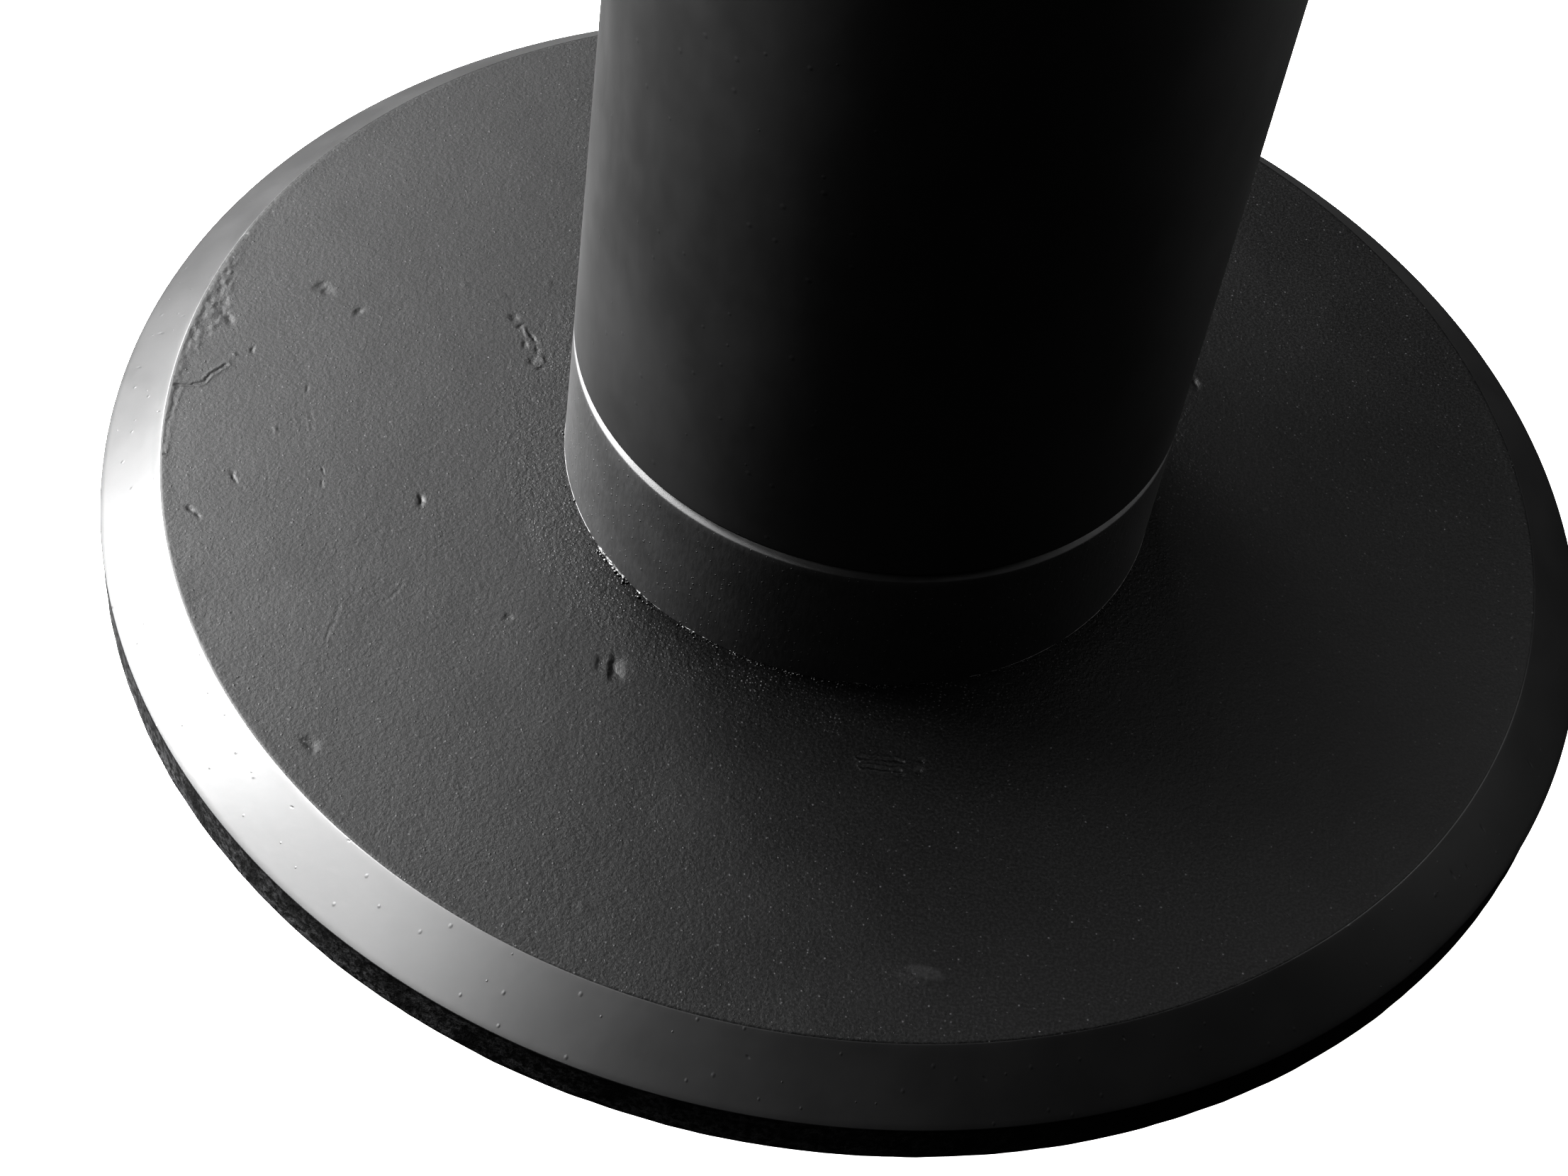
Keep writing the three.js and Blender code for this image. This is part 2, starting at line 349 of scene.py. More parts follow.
def plate_paint():
    """Black paint over hot-rolled plate: orange peel, grain, grit round the foot, and dust nibs."""
    n = Nodes("plate_paint")
    radius = n.radius()
    foot = n.ramp(radius, POST_RADIUS + 19 * MM, POST_RADIUS + 3 * MM)
    patches = n.ramp(n.noise(14 * MM, 2.0, 0.5), 0.42, 0.68)
    peel = n.noise(1.3 * MM, 2.0, 0.55)
    grain = n.noise(0.55 * MM, 2.0, 0.6)
    skin = n.total((peel, 0.050), (grain, 0.056))
    skin = n.math("MULTIPLY", skin, n.ramp(foot, 0.0, 1.0, 1.0, 1.7))
    nibs = n.specks(2.7 * MM, 0.30, n.place, 0.04, 0.12)
    sand = n.specks(0.85 * MM, 0.5, n.place, 0.15, 0.32)
    grit = n.math("MULTIPLY", sand, n.math("MULTIPLY", foot, n.ramp(patches, 0.0, 1.0, 0.45, 1.0)))
    loose = n.specks(1.5 * MM, 0.08, n.place, 0.10, 0.20)
    height = n.total((skin, 1.0), (nibs, 0.045), (grit, 0.085), (loose, 0.035))
    n.link(n.bump(height, 1.0 * MM), n.shader.inputs["Normal"])
    cloud = n.noise(22 * MM, 3.0, 0.6)
    n.link(n.ramp(cloud, 0.3, 0.7, 0.475, 0.51), n.shader.inputs["Roughness"])
    dust = n.specks(3.7 * MM, 0.30, n.place, 0.03, 0.08)
    powder = n.ramp(n.noise(0.5 * MM, 1.0, 0.5), 0.38, 0.68)
    # Painted highlight: a pale oval in the colour where the low bump on the front would catch light
    painted_highlight = n.oval(*PAINTED_HIGHLIGHT_SPOT)
    # Pale specks of dust, grit and nibs: partly real dust and grit, partly painted glints that stand
    # for light catching their tops in the post's shadow
    specks_and_glints = n.total((dust, 0.9), (grit, 1.0), (nibs, 0.25), (loose, 0.4), (painted_highlight, 0.15))
    tint = n.total((cloud, 0.02), (powder, 0.10), (specks_and_glints, 1.0))
    n.link(n.colour(tint, grey(0.0), grey(0.034)), n.shader.inputs["Base Color"])
    n.shader.inputs["Specular IOR Level"].default_value = 0.206
    return n.material


def bevel_paint():
    """The same black paint, smoother over the machined bevel and mottled on the flame-cut side."""
    n = Nodes("bevel_paint")
    height = n.height()
    side = n.ramp(height, BEVEL_START - 0.1 * MM, BEVEL_START - 0.5 * MM)
    peel = n.noise(2.0 * MM, 2.0, 0.5)
    mottle = n.noise(1.3 * MM, 4.0, 0.65)
    nibs = n.specks(4.0 * MM, 0.3, n.place, 0.05, 0.12)
    nicks = n.specks(7.0 * MM, 0.25, n.scaled((0.45, 1.0, 1.0), 25.0), 0.03, 0.07)
    side_mottle = n.math("MULTIPLY", mottle, side)
    total = n.total((peel, 0.012), (side_mottle, 0.30), (nibs, 0.03), (nicks, -0.04))
    n.link(n.bump(total, 1.0 * MM), n.shader.inputs["Normal"])
    cloud = n.noise(18 * MM, 3.0, 0.6)
    rough = n.total((n.ramp(cloud, 0.3, 0.7, 0.42, 0.446), 1.0), (side, 0.15))
    n.link(rough, n.shader.inputs["Roughness"])
    foot = n.ramp(height, PLATE_BOTTOM + 5 * MM, PLATE_BOTTOM + 0.5 * MM, 0.35, 1.0)
    patch = n.ramp(n.noise(7.0 * MM, 2.0, 0.5), 0.30, 0.55)
    scale = n.math("MULTIPLY", n.math("MULTIPLY", side, foot), n.ramp(mottle, 0.40, 0.62))
    scale = n.math("MULTIPLY", scale, patch)
    tint = n.total((cloud, 0.03), (mottle, 0.03), (scale, 2.2))
    n.link(n.colour(tint, grey(0.005), grey(0.060)), n.shader.inputs["Base Color"])
    n.shader.inputs["Specular IOR Level"].default_value = 0.9
    return n.material


def edge_paint():
    """The smoother, glossier paint that gathers on the collar's chamfer."""
    n = Nodes("edge_paint")
    ripple = n.noise(3.0 * MM, 2.0, 0.5)
    n.link(n.ramp(ripple, 0.3, 0.7, 0.52, 0.58), n.shader.inputs["Roughness"])
    n.link(n.colour(ripple, grey(0.016), grey(0.022)), n.shader.inputs["Base Color"])
    n.shader.inputs["Specular IOR Level"].default_value = 0.9
    n.link(n.bump(ripple, 0.02 * MM), n.shader.inputs["Normal"])
    return n.material


def tube_paint():
    """Smooth satin black paint with wide soft clouds, a few dust nibs, and painted light that makes
    it lighter towards the foot.
    """
    n = Nodes("tube_paint")
    flat = n.unrolled(0.6)
    cloud = n.noise(26 * MM, 4.0, 0.62, flat)
    bloom = n.noise(9 * MM, 3.0, 0.6, flat)
    n.link(n.ramp(cloud, 0.28, 0.72, 0.67, 0.76), n.shader.inputs["Roughness"])
    # Painted light: the colour is made lighter towards the tube's foot
    foot = n.ramp(n.height(), 140 * MM, 60 * MM)
    tint = n.ramp(n.total((cloud, 0.55), (bloom, 0.25), (foot, 0.20)), 0.33, 0.68)
    n.link(n.colour(tint, grey(0.0008), grey(0.0068)), n.shader.inputs["Base Color"])
    n.shader.inputs["Specular IOR Level"].default_value = 0.75
    peel = n.noise(2.2 * MM, 2.0, 0.5)
    nibs = n.specks(6.0 * MM, 0.35, n.unrolled(), 0.05, 0.12)
    n.link(n.bump(n.total((peel, 0.012), (nibs, 0.03)), 1.0 * MM), n.shader.inputs["Normal"])
    return n.material


def head_paint():
    """The tube's paint over a turned head, scuffed round its bevel by ropes."""
    n = Nodes("head_paint")
    cloud = n.noise(20 * MM, 3.0, 0.6)
    bevel = n.ramp(n.radius(), HEAD_RADIUS - 13 * MM, HEAD_RADIUS - 7 * MM)
    scratches = n.noise(1.1 * MM, 4.0, 0.7, n.scaled((0.18, 1.0, 1.0), 35.0))
    crossing = n.noise(1.3 * MM, 4.0, 0.7, n.scaled((0.15, 1.0, 1.0), -50.0))
    scuffs = n.ramp(n.math("MAXIMUM", scratches, crossing), 0.60, 0.72)
    worn = n.math("MULTIPLY", n.ramp(cloud, 0.42, 0.62), n.total((bevel, 0.9), (1.0, 0.25)))
    scuffs = n.math("MULTIPLY", scuffs, worn)
    rough = n.total((n.ramp(cloud, 0.3, 0.7, 0.66, 0.76), 1.0), (scuffs, 0.12))
    n.link(rough, n.shader.inputs["Roughness"])
    tint = n.math("MAXIMUM", n.math("MULTIPLY", cloud, 0.3), scuffs)
    n.link(n.colour(tint, grey(0.003), grey(0.018)), n.shader.inputs["Base Color"])
    n.shader.inputs["Specular IOR Level"].default_value = 0.01
    peel = n.noise(1.8 * MM, 2.0, 0.5)
    nibs = n.specks(2.7 * MM, 0.30, n.place, 0.04, 0.12)
    total = n.total((peel, 0.04), (nibs, 0.04), (scuffs, -0.04))
    n.link(n.bump(total, 1.0 * MM), n.shader.inputs["Normal"])
    return n.material


def collar_paint():
    """The tube's paint over a turned collar, with grit and short upright streaks in it."""
    n = Nodes("collar_paint")
    flat = n.unrolled()
    cloud = n.noise(16 * MM, 3.0, 0.6)
    streaks = n.noise(0.9 * MM, 2.0, 0.6, n.unrolled(0.35))
    n.link(n.ramp(cloud, 0.25, 0.75, 0.69, 0.75), n.shader.inputs["Roughness"])
    tint = n.total((cloud, 0.45), (streaks, 0.55))
    nibs = n.specks(1.5 * MM, 0.30, flat, 0.07, 0.18)
    tint = n.total((n.ramp(tint, 0.35, 0.65), 0.25), (nibs, 0.6))
    n.link(n.colour(tint, grey(0.009), grey(0.045)), n.shader.inputs["Base Color"])
    n.shader.inputs["Specular IOR Level"].default_value = 0.86
    total = n.total((streaks, 0.045), (nibs, 0.12))
    n.link(n.bump(total, 1.0 * MM), n.shader.inputs["Normal"])
    return n.material


def weld_paint():
    """Black paint over a small rough bead."""
    n = Nodes("weld_paint")
    lumps = n.noise(0.8 * MM, 3.0, 0.6)
    n.link(n.ramp(lumps, 0.2, 0.8, 0.42, 0.62), n.shader.inputs["Roughness"])
    n.link(n.colour(lumps, grey(0.006), grey(0.012)), n.shader.inputs["Base Color"])
    n.shader.inputs["Specular IOR Level"].default_value = 0.75
    n.link(n.bump(lumps, 0.22 * MM), n.shader.inputs["Normal"])
    return n.material


def turned_steel(name, tone, roughness, groove):
    """Turned metal: fine grooves round the axis, a few stains, and rougher patches."""
    n = Nodes(name)
    across = n.add("ShaderNodeCombineXYZ")
    n.link(n.radius(), across.inputs["X"])
    n.link(n.height(), across.inputs["Y"])
    grooves = n.noise(groove, 3.0, 0.7, across.outputs[0])
    stains = n.noise(9 * MM, 4.0, 0.6)
    n.link(n.ramp(stains, 0.3, 0.75, roughness, roughness + 0.15), n.shader.inputs["Roughness"])
    shade = n.total((stains, 0.6), (grooves, 0.4))
    n.link(n.colour(shade, grey(tone * 0.72), grey(tone)), n.shader.inputs["Base Color"])
    n.link(n.bump(grooves, 0.012 * MM), n.shader.inputs["Normal"])
    n.shader.inputs["Metallic"].default_value = 1.0
    return n.material


def rubber_skin():
    """Matt black rubber with a fine moulded grain and a bloom of lighter grey."""
    n = Nodes("rubber_skin")
    grain = n.noise(0.5 * MM, 3.0, 0.6)
    bloom = n.noise(12 * MM, 3.0, 0.6)
    n.link(n.ramp(bloom, 0.3, 0.7, 0.72, 0.9), n.shader.inputs["Roughness"])
    n.link(n.colour(bloom, grey(0.008), grey(0.02)), n.shader.inputs["Base Color"])
    n.link(n.bump(grain, 0.03 * MM), n.shader.inputs["Normal"])
    return n.material


# Base plate ---------------------------------------------------------------------------------------

# Steps between the outline's points, fine enough to carry the relief
TOP_STEP = 1.0 * MM
BEVEL_STEP = 1.1 * MM
SIDE_STEP = 0.7 * MM


def plate_outline():
    top, flat, wall = PLATE_TOP, PLATE_FLAT_RADIUS, PLATE_RADIUS
    slope = math.degrees(math.atan2(BEVEL_WIDTH, BEVEL_HEIGHT))
    turn = math.radians(90.0 - slope)
    reach = BEVEL_INNER_ROUND * math.tan(turn / 2)
    inner_round = arc(flat - reach, top - BEVEL_INNER_ROUND, BEVEL_INNER_ROUND, 90.0, slope, 6)
    outer_reach = BEVEL_OUTER_ROUND * math.tan(math.radians(slope) / 2)
    outer_centre = (wall - BEVEL_OUTER_ROUND, BEVEL_START - outer_reach)
    outer_round = arc(*outer_centre, BEVEL_OUTER_ROUND, slope, 0.0, 4)
    foot_centre = (wall - PLATE_FOOT_ROUND, PLATE_BOTTOM + PLATE_FOOT_ROUND)
    foot_round = arc(*foot_centre, PLATE_FOOT_ROUND, 0.0, -90.0, 4)
    down = [(0.0, top), (20 * MM, top), (40 * MM, top), (52 * MM, top)]
    down += stretch((POST_RADIUS - 1 * MM, top), inner_round[0], TOP_STEP)
    down += inner_round
    down += stretch(inner_round[-1], outer_round[0], BEVEL_STEP)[1:]
    down += outer_round
    down += stretch(outer_round[-1], foot_round[0], SIDE_STEP)[1:]
    down += foot_round
    down += [(120 * MM, PLATE_BOTTOM), (70 * MM, PLATE_BOTTOM), (0.0, PLATE_BOTTOM)]
    return down[::-1]


# Flaws of the rolled plate, in millimetres from the axis on its top. A pit has its middle, its half
# length and half width, the way its length runs in degrees, and its depth.
PITS = [
    (-84.2, -93.6, 1.6, 1.2, 125, 0.13),
    (-83.4, -94.6, 0.8, 0.5, 70, 0.04),
    (-79.0, -33.0, 1.25, 0.5, 108, 0.22),
    (-119.4, -45.9, 0.9, 0.45, 140, 0.14),
    (-117.6, -47.2, 0.8, 0.35, 150, 0.11),
    (-114.0, -36.2, 1.2, 0.32, 125, 0.12),
    (-111.4, 18.0, 1.5, 0.8, 60, 0.11),
    (-109.9, 16.9, 1.3, 1.0, 100, 0.12),
    (-102.5, 12.9, 1.1, 0.6, 60, 0.13),
    (-126.3, 3.9, 1.5, 0.8, 120, 0.12),
    (-119.6, -3.0, 0.8, 0.45, 95, 0.10),
    (-106.8, -10.4, 0.8, 0.3, 100, 0.05),
    (-98.6, -30.4, 1.0, 0.25, 120, 0.05),
    (-97.6, -33.8, 0.8, 0.25, 100, 0.05),
    (-72.6, 19.4, 1.0, 0.8, 110, 0.12),
    (-70.9, 17.2, 0.9, 0.45, 60, 0.09),
    (-67.6, 14.6, 1.5, 0.42, 125, 0.11),
    (-68.9, 12.4, 0.9, 0.45, 100, 0.09),
    (-66.1, 11.2, 1.0, 0.5, 120, 0.11),
    (-66.3, 8.4, 0.9, 0.75, 90, 0.12),
    (-64.4, 6.8, 0.8, 0.45, 40, 0.09),
    (-57.2, -57.0, 0.9, 0.7, 60, 0.08),
    (21.0, -71.4, 0.8, 0.45, 10, 0.12),
    (20.9, -73.8, 1.0, 0.75, 60, 0.18),
    (17.8, -75.7, 0.8, 0.3, 20, 0.10),
    (64.0, 38.0, 1.4, 0.7, 120, 0.22),
    (79.5, 6.2, 0.8, 0.5, 30, 0.08),
    (-130.0, 28.2, 0.9, 0.5, 70, 0.10),
    (-129.2, -34.6, 0.8, 0.4, 30, 0.12),
]
# The deepest dent: its middle, how far its length leans from Y in degrees, and half its length. Its
# depth is given at places across it, from a shallow ledge through a steep wall to a long slope.
DENT = (-36.2, -63.9, 8.0, 2.5)
DENT_ACROSS = [-3.4, -2.9, -2.2, -1.2, -0.9, -0.1, 0.3, 2.3, 3.2]
DENT_DEPTH = [0.0, 0.09, 0.09, 0.05, 0.07, 0.30, 0.28, 0.03, 0.0]
# A bump has its middle, its half length and half width, the way its length runs, and its height.
BUMPS = [
    (27.6, -117.3, 3.9, 1.1, -5, 0.20),
    (-122.4, -5.0, 0.45, 0.4, 0, 0.10),
    (-84.0, 25.8, 0.9, 0.8, 0, 0.05),
    (-76.0, 24.5, 0.8, 0.7, 0, 0.04),
    (-68.0, 31.0, 0.8, 0.7, 0, 0.05),
    (-69.4, 15.8, 1.9, 0.55, 125, 0.08),
    (-65.2, 9.9, 1.5, 0.45, 118, 0.09),
    (-128.6, -34.0, 0.5, 0.4, 0, 0.14),
    (-109.9, -22.3, 0.6, 0.4, 130, 0.08),
    (-31.0, -116.5, 1.2, 1.0, 0, 0.04),
]
# The edge of the folded scale, from the rim inward
LAP = [
    (-131.0, -16.0),
    (-127.9, -15.2),
    (-126.2, -13.6),
    (-125.4, -11.2),
    (-124.4, -9.6),
    (-123.2, -8.4),
]
# A line is a groove with a lip on each side: half its width, its depth, and its points.
LINES = [
    (0.30, 0.075, LAP),
    (0.26, 0.110, [(10.2, -73.3), (18.0, -72.5)]),
    (0.26, 0.100, [(11.0, -75.3), (17.6, -74.6)]),
    (0.30, 0.016, [(-77.4, -54.0), (-79.3, -58.5)]),
    (0.30, 0.016, [(-87.0, -62.0), (-87.6, -70.0)]),
    (0.30, 0.014, [(-104.6, -16.0), (-102.8, -21.0)]),
    (0.40, 0.030, [(-130.5, -16.0), (-130.0, -21.0), (-129.6, -26.0), (-128.4, -33.0)]),
]
FLAW_REACH = 2.6  # how far round a flaw the mesh is refined, in its own sizes
RIM = PLATE_FLAT_RADIUS / MM  # the edge of the flat top
SCAB_ANGLE = 177.5  # where the middle of the scab is on the rim, in degrees
SIDE_DEPTH = 0.26  # how deep the roughness of the plate's side goes


def segment_distance(x, y, a, b):
    ax, ay = a
    dx, dy = b[0] - ax, b[1] - ay
    t = np.clip(((x - ax) * dx + (y - ay) * dy) / (dx * dx + dy * dy), 0.0, 1.0)
    return np.hypot(x - ax - t * dx, y - ay - t * dy)


def oval_distance(x, y, px, py, half_length, half_width, way):
    """Distance from the middle of an oval, 1 at its edge."""
    angle = math.radians(way)
    u = ((x - px) * math.cos(angle) + (y - py) * math.sin(angle)) / half_length
    v = (-(x - px) * math.sin(angle) + (y - py) * math.cos(angle)) / half_width
    return np.hypot(u, v)


def scab_turn(x, y):
    """The turn about the axis from the middle of the scab, from -180 to 180 degrees."""
    return (np.degrees(np.arctan2(y, x)) - SCAB_ANGLE + 180.0) % 360.0 - 180.0


def dent_depth(x, y):
    """Depth of the deepest dent. Its ledge is shorter than its slope and lies further back."""
    px, py, lean, half_length = DENT
    lean = math.radians(lean)
    across = (x - px) * math.cos(lean) + (y - py) * math.sin(lean)
    along = -(x - px) * math.sin(lean) + (y - py) * math.cos(lean)
    slope = smooth_step(across, -1.2, -0.6)
    middle = 0.9 * (1.0 - slope)
    reach = half_length * (0.62 + 0.38 * slope)
    envelope = np.exp(-(np.abs((along - middle) / reach) ** 3.2))
    return np.interp(across, DENT_ACROSS, DENT_DEPTH) * envelope


def flaw_height(x, y):
    """Height of the plate's top over its plane, in millimetres, from places in millimetres."""
    points = np.column_stack([x, y])
    # The places are shifted a little at random, so that no flaw is a plain oval or a straight line
    x = x + 0.26 * lattice_noise(points, 1.5, 41) + 0.12 * lattice_noise(points, 0.6, 42)
    y = y + 0.26 * lattice_noise(points, 1.5, 43) + 0.12 * lattice_noise(points, 0.6, 44)
    height = -dent_depth(x, y)
    for *oval, depth in PITS:
        height -= 1.25 * depth * np.exp(-(oval_distance(x, y, *oval) ** 2.2))
    for *oval, rise in BUMPS:
        height += rise * np.exp(-(oval_distance(x, y, *oval) ** 2.4))
    for half_width, depth, points in LINES:
        nearest = np.full_like(x, 1e9)
        for a, b in zip(points, points[1:]):
            nearest = np.minimum(nearest, segment_distance(x, y, a, b))
        height -= depth * np.exp(-((nearest / half_width) ** 2))
        lip = (nearest - 2.4 * half_width) / (0.9 * half_width)
        height += 0.6 * depth * np.exp(-(lip**2))
    return height


def rim_scab(x, y):
    """The lumpy strip along the left rim, where scale was rolled in."""
    radius, turn = np.hypot(x, y), scab_turn(x, y)
    width = 3.4 * np.exp(-((turn / 4.6) ** 2)) + 1.2
    strip = smooth_step(radius, RIM - width - 1.6, RIM - width)
    strip *= 1.0 - smooth_step(radius, RIM - 1.4, RIM)
    strip *= np.exp(-((turn / 7.5) ** 6))
    points = np.column_stack([radius, np.arctan2(y, x) * RIM * 0.62])
    lumps = 0.6 * lattice_noise(points, 2.0, 11) + 0.4 * lattice_noise(points, 0.9, 12)
    return strip * (0.16 * lumps + 0.02)


def plate_relief(x, y):
    """All of the top's relief, in millimetres: waves, a low crest along the rim, flaws and scab."""
    points = np.column_stack([x, y])
    waves = 0.045 * lattice_noise(points, 13.0, 1) + 0.016 * lattice_noise(points, 5.0, 2)
    away = 1.0 - np.exp(-((scab_turn(x, y) / 9.0) ** 6))
    crest = 0.035 * smooth_step(np.hypot(x, y), RIM - 1.9, RIM - 0.8) * away
    return waves + crest + flaw_height(x, y) + rim_scab(x, y)


def near_flaw(x, y, reach):
    """Whether places are so near a flaw that the mesh has to be fine there."""
    near = np.hypot(x - DENT[0], y - DENT[1]) < 1.9 * DENT[3]
    for px, py, half_length, half_width, way, _ in PITS + BUMPS:
        length, width = max(half_length, 0.6), max(half_width, 0.6)
        near |= oval_distance(x, y, px, py, length, width, way) < reach
    for half_width, _, points in LINES:
        for a, b in zip(points, points[1:]):
            near |= segment_distance(x, y, a, b) < 2.0 * reach * half_width
    radius = np.hypot(x, y)
    near |= (np.abs(scab_turn(x, y)) < 8.5) & (radius > RIM - 6.5) & (radius < RIM)
    return near


def refine(obj, levels):
    """Splits the faces of the plate's top near flaws."""
    mesh = bmesh.new()
    mesh.from_mesh(obj.data)
    for level in range(levels):
        centres = np.array([face.calc_center_median()[:] for face in mesh.faces]) / MM
        chosen = near_flaw(centres[:, 0], centres[:, 1], FLAW_REACH - level * 0.4)
        chosen &= centres[:, 2] > PLATE_TOP / MM - 0.01
        chosen &= np.hypot(centres[:, 0], centres[:, 1]) > POST_RADIUS / MM - 1.0
        mesh.faces.ensure_lookup_table()
        edges = set()
        for index in np.nonzero(chosen)[0]:
            edges.update(mesh.faces[index].edges)
        bmesh.ops.subdivide_edges(mesh, edges=list(edges), cuts=1, use_grid_fill=True)
    mesh.to_mesh(obj.data)
    mesh.free()


def base_plate():
    plate = revolve("plate_body", plate_outline(), PLATE_SEGMENTS)
    refine(plate, 3)
    points = coordinates(plate)
    x, y, z = points.T / MM
    radius = np.hypot(x, y)
    on_top = (z > PLATE_TOP / MM - 0.5) & (radius < RIM + 1.0)
    share = 1.0 - smooth_step(radius, RIM - 0.4, RIM + 1.0)
    points[:, 2] += np.where(on_top, plate_relief(x, y) * share, 0.0) * MM
    side = (z < BEVEL_START / MM - 0.1) & (radius > RIM + 5)
    place = np.column_stack([x, y, z])
    rough = 0.5 + 0.5 * lattice_noise(place, 3.4, 21)
    rough = 0.7 * rough + 0.3 * (0.5 + 0.5 * lattice_noise(place, 1.5, 22))
    inward = np.where(side, SIDE_DEPTH * rough, 0.0) / np.maximum(radius, 1.0)
    points[:, 0] -= x * inward * MM
    points[:, 1] -= y * inward * MM
    set_coordinates(plate, points)
    smooth(plate, 50.0)
    finish(plate, plate_paint(), bevel_paint())
    mids = np.array([face.center[:] for face in plate.data.polygons])
    beyond = np.hypot(mids[:, 0], mids[:, 1]) > PLATE_FLAT_RADIUS + 0.15 * MM
    beyond |= mids[:, 2] < PLATE_TOP - 1 * MM
    plate.data.polygons.foreach_set("material_index", beyond.astype(np.int32))
    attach(plate, "bollard")
    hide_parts("base_plate")


# Collar, weld and tube ----------------------------------------------------------------------------


def collar():
    """The collar, flush with the tube. Both corners of its chamfer are slightly rounded."""
    inner, outer, chamfer = BORE_RADIUS, POST_RADIUS, SEAM_CHAMFER
    chamfer_foot = SEAM - chamfer
    outline = [(inner, PLATE_TOP)]
    outline += stretch((outer, PLATE_TOP), (outer, chamfer_foot - 0.12 * MM), 1.5 * MM)
    outline += [
        (outer, chamfer_foot - 0.12 * MM),
        (outer - 0.04 * MM, chamfer_foot + 0.02 * MM),
        (outer - 0.14 * MM, chamfer_foot + 0.14 * MM),
        (outer - chamfer + 0.12 * MM, SEAM - 0.10 * MM),
        (outer - chamfer, SEAM - 0.02 * MM),
        (outer - chamfer - 0.3 * MM, SEAM),
        (inner, SEAM),
    ]
    piece = revolve("foot_collar", outline, POST_SEGMENTS)
    smooth(piece, 50.0)
    finish(piece, collar_paint(), edge_paint())
    heights = np.array([face.center[2] for face in piece.data.polygons])
    on_chamfer = (heights > chamfer_foot).astype(np.int32)
    piece.data.polygons.foreach_set("material_index", on_chamfer)
    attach(piece, "bollard")
    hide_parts("base_collar")


# Spatter beside the bead: the angles in degrees that it lies between, how many crumbs, and the
# biggest in millimetres.
CRUMBS = [
    (216.0, 236.0, 26, 0.34),
    (226.5, 229.5, 9, 0.36),
    (236.0, 243.0, 5, 0.30),
    (243.0, 285.0, 110, 0.20),
    (285.0, 345.0, 50, 0.16),
    (0.0, 216.0, 30, 0.24),
]
BEAD_FACE_POINTS = 9  # points across the face of the bead, from the plate up to the collar


def within(degrees, start, end, soft):
    """1 between two angles, and 0 a soft width outside them."""
    return smooth_step(degrees, start - soft, start) * (1.0 - smooth_step(degrees, end, end + soft))


def bead_mesh():
    """The bead's vertices and faces: lumpy at the front left, crumbly in front, thin elsewhere."""
    angles = circle(BEAD_SEGMENTS)
    ring = np.column_stack([np.cos(angles), np.sin(angles)])
    degrees = np.degrees(angles)
    at = ring * POST_RADIUS / MM
    coarse = lattice_noise(at, 3.1, 31)
    middle = lattice_noise(at, 0.9, 32)
    fine = lattice_noise(at, 0.45, 33)
    lumpy = within(degrees, 217.0, 234.0, 3.0)
    crumbly = within(degrees, 243.0, 300.0, 6.0)
    gap = within(degrees, 239.0, 242.0, 1.5)
    leg = 0.10 + 0.03 * coarse
    leg += lumpy * (0.16 + 0.30 * coarse + 0.20 * middle + 0.12 * fine)
    leg += crumbly * (-0.06 + 0.12 * middle + 0.12 * fine)
    leg -= gap * 0.15
    leg = np.clip(leg, 0.03, 1.1) * MM
    broken = np.clip(0.06 + lumpy + 0.8 * crumbly, 0.0, 1.0)
    # Its root is sunk a little into the collar and the plate
    root = POST_RADIUS - 0.05 * MM
    floor = PLATE_TOP - 0.12 * MM
    count = BEAD_FACE_POINTS
    turns = 0.5 * math.pi * np.arange(count) / (count - 1)
    vertices, faces = [], []
    for i in range(BEAD_SEGMENTS):
        size = leg[i] + 0.06 * MM
        place = np.column_stack([np.full(count, at[i, 0]), np.full(count, at[i, 1]), 3.0 * turns])
        knobs = 1.0 + 0.34 * broken[i] * lattice_noise(place, 0.55, 34) * np.sin(2.0 * turns)
        for j in range(count):
            out = root + size * math.cos(turns[j]) * knobs[j]
            up = floor + size * 1.1 * math.sin(turns[j]) * knobs[j]
            vertices.append((out * ring[i, 0], out * ring[i, 1], up))
        vertices.append((root * ring[i, 0], root * ring[i, 1], floor))
    per = count + 1
    for i in range(BEAD_SEGMENTS):
        k = (i + 1) % BEAD_SEGMENTS
        for j in range(per):
            m = (j + 1) % per
            faces.append((i * per + j, k * per + j, k * per + m, i * per + m))
    return vertices, faces


def add_spatter(vertices, faces):
    """Adds crumbs beside the bead: knobbly balls of uneven sizes, partly sunk in the plate."""
    rng = np.random.default_rng(35)
    ball = bmesh.new()
    bmesh.ops.create_icosphere(ball, subdivisions=2, radius=1.0)
    ball_points = np.array([v.co[:] for v in ball.verts])
    ball_faces = [[v.index for v in face.verts] for face in ball.faces]
    ball.free()
    for start, end, count, biggest in CRUMBS:
        for _ in range(count):
            turn = math.radians(rng.uniform(start, end))
            size = rng.uniform(0.10, biggest) * MM
            away = POST_RADIUS + (0.15 + abs(rng.normal(0.0, 0.55))) * MM
            grown = ball_points * size * rng.uniform(0.7, 1.3, 3)
            first = len(vertices)
            knobs = lattice_noise(ball_points + 7.0 * first, 0.8, 36)
            grown += ball_points * size * 0.3 * knobs[:, None]
            grown += (away * math.cos(turn), away * math.sin(turn), PLATE_TOP + 0.25 * size)
            vertices.extend(map(tuple, grown))
            faces.extend(tuple(first + index for index in face) for face in ball_faces)


def weld():
    """The small bead at the collar's foot, with spatter beside it."""
    vertices, faces = bead_mesh()
    add_spatter(vertices, faces)
    bead = new_object("collar_bead", vertices, faces)
    smooth(bead, 70.0)
    finish(bead, weld_paint())
    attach(bead, "bollard")
    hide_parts("collar_weld")


